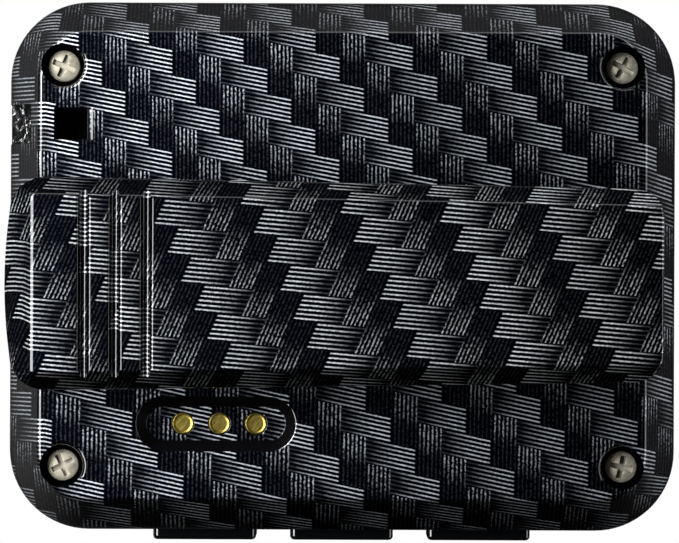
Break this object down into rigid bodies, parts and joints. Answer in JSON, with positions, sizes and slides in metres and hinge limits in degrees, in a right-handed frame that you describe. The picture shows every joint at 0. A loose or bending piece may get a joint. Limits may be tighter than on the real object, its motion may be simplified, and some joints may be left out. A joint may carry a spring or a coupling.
{
  "type": "interval timer",
  "caption": "Clip-on interval timer lying on its display, with a sprung belt clip, side push buttons, a charging dock and a lanyard eye on its back.",
  "frame": {"origin": "middle of the front face's plane, under the middle of the case", "axes": "+X along the clip to its tip, +Y away from the buttons, +Z out of the back"},
  "size_m": [0.057, 0.0462, 0.0197],
  "materials": {
    "film_shell": "moulded shell with a printed black twill film under clear lacquer",
    "clip_film": "moulded clip with the same twill film, stretched along its length",
    "nickel_screw": "nickel-plated steel",
    "pin_steel": "ground steel",
    "spring_steel": "drawn spring wire",
    "button_plastic": "gloss black",
    "plunger_plastic": "moulded",
    "switch_steel": "stamped",
    "window_glass": "clear tinted window",
    "lcd_glass": "reflective grey-green display",
    "black_plastic": "moulded",
    "black_foam": "adhesive foam",
    "strip_rubber": "layered silicone",
    "white_plastic": "moulded",
    "board_green": "solder mask",
    "chip_epoxy": "moulded epoxy",
    "can_steel": "drawn can",
    "ceramic_parts": "ceramic chips",
    "cell_foil": "laminated foil pouch",
    "lead_pvc": "insulated wire",
    "weight_metal": "sintered heavy metal",
    "boot_rubber": "moulded rubber",
    "contact_gold": "gold plate",
    "magnet_nickel": "nickel plate"
  },
  "bodies": {
    "housing": {"front_housing": "film_shell", "rear_cover": "film_shell", "case_screws": "nickel_screw", "key_switches": "switch_steel", "display_window": "window_glass", "window_adhesive": "black_foam", "lcd_panel": "lcd_glass", "lcd_frame": "black_plastic", "contact_strips": "strip_rubber", "backlight": "white_plastic", "main_board": "board_green", "board_screws": "nickel_screw", "controller": "chip_epoxy", "clock_crystal": "can_steel", "board_parts": "ceramic_parts", "battery": "cell_foil", "battery_tape": "black_foam", "battery_leads": "lead_pvc", "battery_connector": "white_plastic", "vibration_motor": "can_steel", "motor_boot": "boot_rubber", "buzzer": "black_plastic", "charge_contacts": "contact_gold", "contact_carrier": "black_plastic", "dock_magnets": "magnet_nickel", "clip_spring": "spring_steel"},
    "clip": {"belt_clip": "clip_film", "clip_pin": "pin_steel"},
    "up_key": {"up_button": "button_plastic", "up_plunger": "plunger_plastic"},
    "start_key": {"start_button": "button_plastic", "start_plunger": "plunger_plastic"},
    "down_key": {"down_button": "button_plastic", "down_plunger": "plunger_plastic"},
    "motor_rotor": {"motor_weight": "weight_metal"}
  },
  "joints": [
    {"name": "clip_hinge", "type": "hinge", "parent": "housing", "child": "clip", "pos_m": [-0.014, -0.0015, 0.0154], "axis": [0, -1, 0], "range_deg": [0, 16], "stiffness_Nm_per_rad": 0.06, "springref_deg": -8.59, "deforming": ["clip_spring"]},
    {"name": "up_press", "type": "slide", "parent": "housing", "child": "up_key", "axis": [0, 1, 0], "range_m": [0, 0.0004], "stiffness_N_per_m": 4000},
    {"name": "start_press", "type": "slide", "parent": "housing", "child": "start_key", "axis": [0, 1, 0], "range_m": [0, 0.0004], "stiffness_N_per_m": 4000},
    {"name": "down_press", "type": "slide", "parent": "housing", "child": "down_key", "axis": [0, 1, 0], "range_m": [0, 0.0004], "stiffness_N_per_m": 4000},
    {"name": "motor_spin", "type": "hinge", "parent": "housing", "child": "motor_rotor", "pos_m": [0.0172, -0.0065, 0.0084], "axis": [1, 0, 0], "continuous": true}
  ]
}
